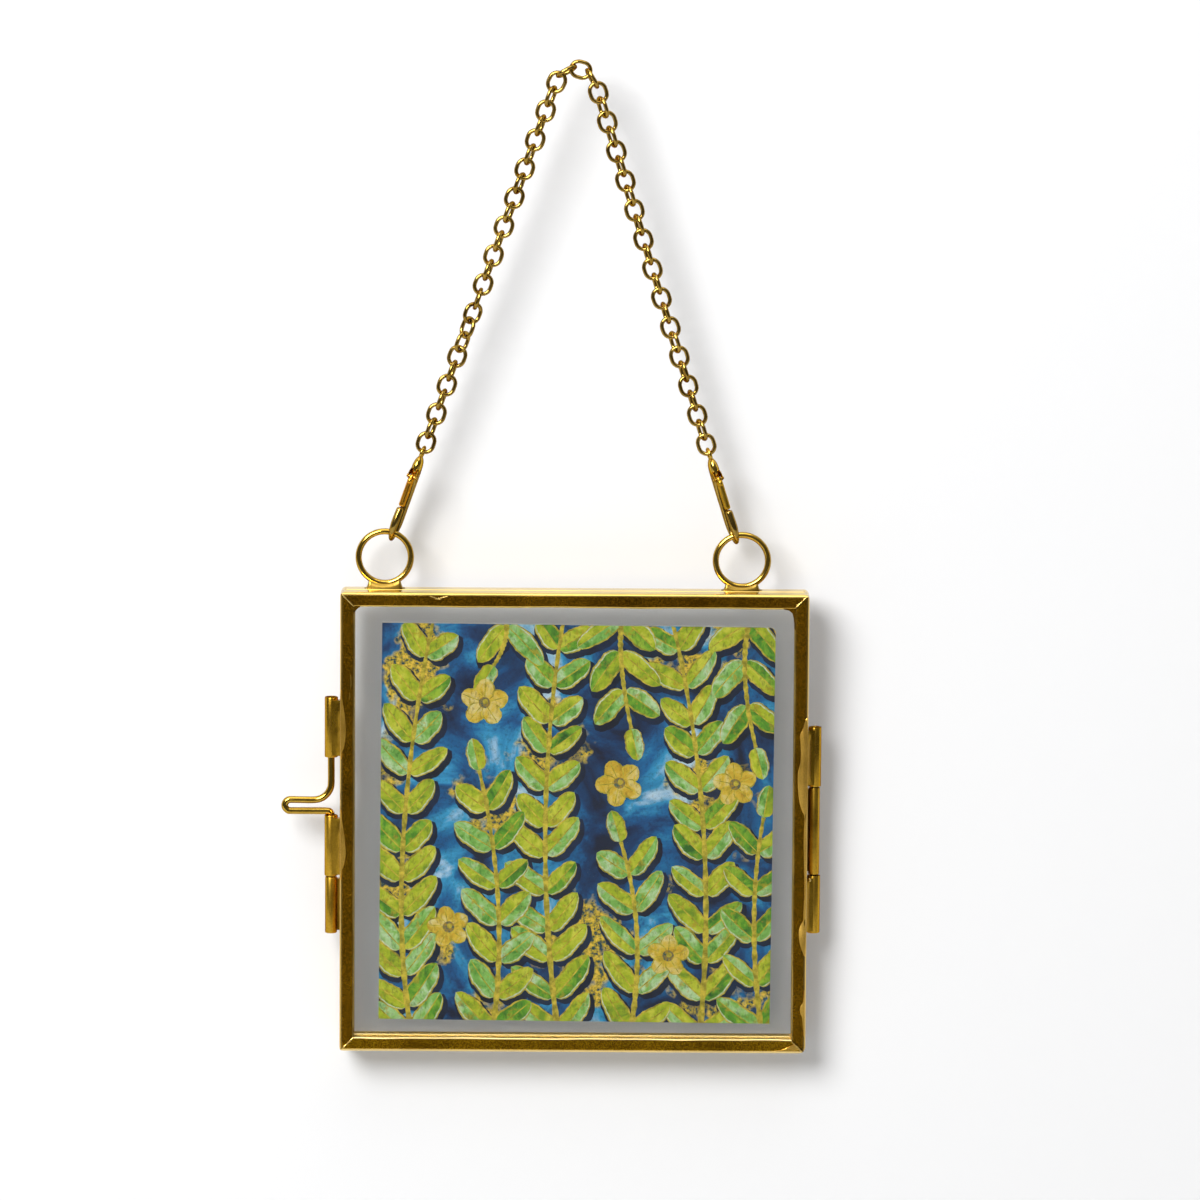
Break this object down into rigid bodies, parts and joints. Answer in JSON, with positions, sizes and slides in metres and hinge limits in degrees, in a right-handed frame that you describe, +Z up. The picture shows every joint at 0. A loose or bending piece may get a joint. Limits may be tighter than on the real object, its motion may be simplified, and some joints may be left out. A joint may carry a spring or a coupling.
{
  "type": "hinged brass glass frame with a printed card, hung from a chain",
  "caption": "Square hinged brass frame that holds a printed card between clear glass panes, with a pin latch at its side, hung from a chain clipped to rings on its top.",
  "frame": {"origin": "the point where the chain bears on the top of its nail", "axes": "+Z up, front face towards -Y, +X to the viewer's right"},
  "size_m": [0.1212, 0.0095, 0.2247],
  "materials": {
    "brass_face": "satin, dark",
    "brass_bright": "polished",
    "clear_glass": "clear",
    "printed_card": "printed, matt"
  },
  "bodies": {
    "hanger": {"chain_links_01_02": "brass_bright", "chain_links_03_04": "brass_bright", "chain_links_05_06": "brass_bright", "chain_links_07_08": "brass_bright", "chain_links_09_10": "brass_bright", "chain_links_11_12": "brass_bright", "chain_links_13_14": "brass_bright", "chain_links_15_16": "brass_bright", "chain_links_17_18": "brass_bright", "chain_links_19_20": "brass_bright", "chain_links_21_22": "brass_bright", "chain_links_23_24": "brass_bright", "chain_links_25_26": "brass_bright", "chain_links_27_28": "brass_bright", "chain_links_29_30": "brass_bright", "chain_links_31_32": "brass_bright", "chain_links_33_34": "brass_bright", "chain_links_35_36": "brass_bright", "chain_links_37_38": "brass_bright", "chain_links_39_40": "brass_bright", "chain_links_41_42": "brass_bright", "chain_links_43_44": "brass_bright", "chain_links_45_46": "brass_bright", "chain_links_47_48": "brass_bright", "chain_links_49_50": "brass_bright", "chain_links_51_52": "brass_bright", "chain_links_53_54": "brass_bright", "clasp_left": "brass_bright", "clasp_right": "brass_bright"},
    "back_half": {"back_bar_bottom": "brass_face", "back_bar_left": "brass_face", "back_bar_right": "brass_face", "back_bar_top": "brass_face", "back_glass": "clear_glass", "botanical_card": "printed_card", "ring_left": "brass_bright", "ring_right": "brass_bright", "hinge_knuckle_middle": "brass_bright", "hinge_pin": "brass_bright", "latch_tube_bottom": "brass_bright"},
    "front_half": {"front_bar_bottom": "brass_face", "front_bar_left": "brass_face", "front_bar_right": "brass_face", "front_bar_top": "brass_face", "front_glass": "clear_glass", "hinge_knuckle_top": "brass_bright", "hinge_knuckle_bottom": "brass_bright", "latch_tube_top": "brass_bright", "latch_tube_middle": "brass_bright"},
    "latch": {"latch_pin": "brass_bright"},
    "left_lever": {"clasp_lever_left": "brass_bright"},
    "right_lever": {"clasp_lever_right": "brass_bright"}
  },
  "joints": [
    {"name": "frame_swing", "type": "hinge", "parent": "hanger", "child": "back_half", "pos_m": [0, 0, -0.10316], "axis": [1, 0, 0], "range_deg": [-75, 0]},
    {"name": "door_hinge", "type": "hinge", "parent": "back_half", "child": "front_half", "pos_m": [0.05455, -0.00215, -0.16805], "axis": [0, 0, 1], "range_deg": [0, 175]},
    {"name": "latch_slide", "type": "slide", "parent": "front_half", "child": "latch", "axis": [0, 0, 1], "range_m": [0, 0.0055]},
    {"name": "left_lever_hinge", "type": "hinge", "parent": "hanger", "child": "left_lever", "pos_m": [-0.03609, -0.0023, -0.08984], "axis": [0.9228, -0.2079, -0.3245], "range_deg": [0, 15], "stiffness_Nm_per_rad": 0.003},
    {"name": "right_lever_hinge", "type": "hinge", "parent": "hanger", "child": "right_lever", "pos_m": [0.03248, -0.0023, -0.08998], "axis": [0.9341, 0.2079, 0.2902], "range_deg": [0, 15], "stiffness_Nm_per_rad": 0.003}
  ]
}
